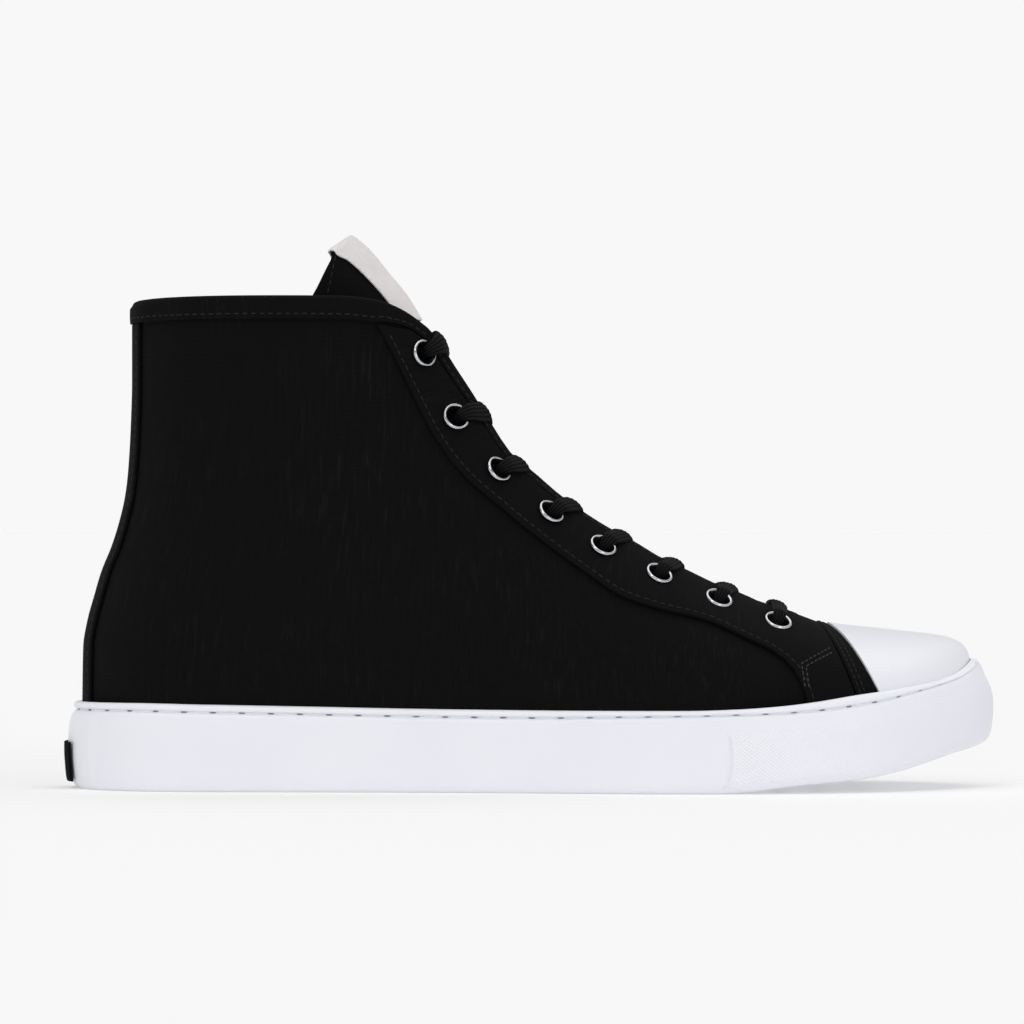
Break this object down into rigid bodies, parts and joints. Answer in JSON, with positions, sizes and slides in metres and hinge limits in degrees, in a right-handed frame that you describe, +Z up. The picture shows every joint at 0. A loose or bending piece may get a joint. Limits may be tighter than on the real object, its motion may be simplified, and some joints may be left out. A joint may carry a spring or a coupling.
{
  "type": "high top sneaker",
  "caption": "Right high top canvas sneaker with a moulded cup sole, rubber toe cap, metal eyelets, straight lacing and a tall tongue.",
  "frame": {"origin": "middle of the footprint, on the ground", "axes": "+X toward the toe, +Y toward the inner side of the foot, +Z up"},
  "size_m": [0.3031, 0.1062, 0.1791],
  "materials": {
    "sole": "matt moulded rubber",
    "insole": "woven cover",
    "upper": "black canvas",
    "tongue": "black canvas",
    "toe_cap": "matt moulded rubber",
    "toe_band": "black canvas tape",
    "eyestay_lateral": "black canvas facing",
    "eyestay_medial": "black canvas facing",
    "back_stay": "black canvas strip",
    "binding": "black woven tape",
    "tongue_label": "white woven label",
    "heel_patch": "black moulded rubber",
    "eyelet_lateral_1": "plated steel",
    "eyelet_lateral_2": "plated steel",
    "eyelet_lateral_3": "plated steel",
    "eyelet_lateral_4": "plated steel",
    "eyelet_lateral_5": "plated steel",
    "eyelet_lateral_6": "plated steel",
    "eyelet_lateral_7": "plated steel",
    "eyelet_lateral_8": "plated steel",
    "eyelet_medial_1": "plated steel",
    "eyelet_medial_2": "plated steel",
    "eyelet_medial_3": "plated steel",
    "eyelet_medial_4": "plated steel",
    "eyelet_medial_5": "plated steel",
    "eyelet_medial_6": "plated steel",
    "eyelet_medial_7": "plated steel",
    "eyelet_medial_8": "plated steel",
    "lace_bar_1": "flat braided cotton lace",
    "lace_bar_2": "flat braided cotton lace",
    "lace_bar_3": "flat braided cotton lace",
    "lace_bar_4": "flat braided cotton lace",
    "lace_bar_5": "flat braided cotton lace",
    "lace_bar_6": "flat braided cotton lace",
    "lace_bar_7": "flat braided cotton lace",
    "lace_bar_8": "flat braided cotton lace"
  },
  "bodies": {
    "root": {"sole": "sole", "insole": "insole", "upper": "upper", "tongue": "tongue", "toe_cap": "toe_cap", "toe_band": "toe_band", "eyestay_lateral": "eyestay_lateral", "eyestay_medial": "eyestay_medial", "back_stay": "back_stay", "binding": "binding", "tongue_label": "tongue_label", "heel_patch": "heel_patch", "eyelet_lateral_1": "eyelet_lateral_1", "eyelet_lateral_2": "eyelet_lateral_2", "eyelet_lateral_3": "eyelet_lateral_3", "eyelet_lateral_4": "eyelet_lateral_4", "eyelet_lateral_5": "eyelet_lateral_5", "eyelet_lateral_6": "eyelet_lateral_6", "eyelet_lateral_7": "eyelet_lateral_7", "eyelet_lateral_8": "eyelet_lateral_8", "eyelet_medial_1": "eyelet_medial_1", "eyelet_medial_2": "eyelet_medial_2", "eyelet_medial_3": "eyelet_medial_3", "eyelet_medial_4": "eyelet_medial_4", "eyelet_medial_5": "eyelet_medial_5", "eyelet_medial_6": "eyelet_medial_6", "eyelet_medial_7": "eyelet_medial_7", "eyelet_medial_8": "eyelet_medial_8", "lace_bar_1": "lace_bar_1", "lace_bar_2": "lace_bar_2", "lace_bar_3": "lace_bar_3", "lace_bar_4": "lace_bar_4", "lace_bar_5": "lace_bar_5", "lace_bar_6": "lace_bar_6", "lace_bar_7": "lace_bar_7", "lace_bar_8": "lace_bar_8"}
  },
  "joints": []
}
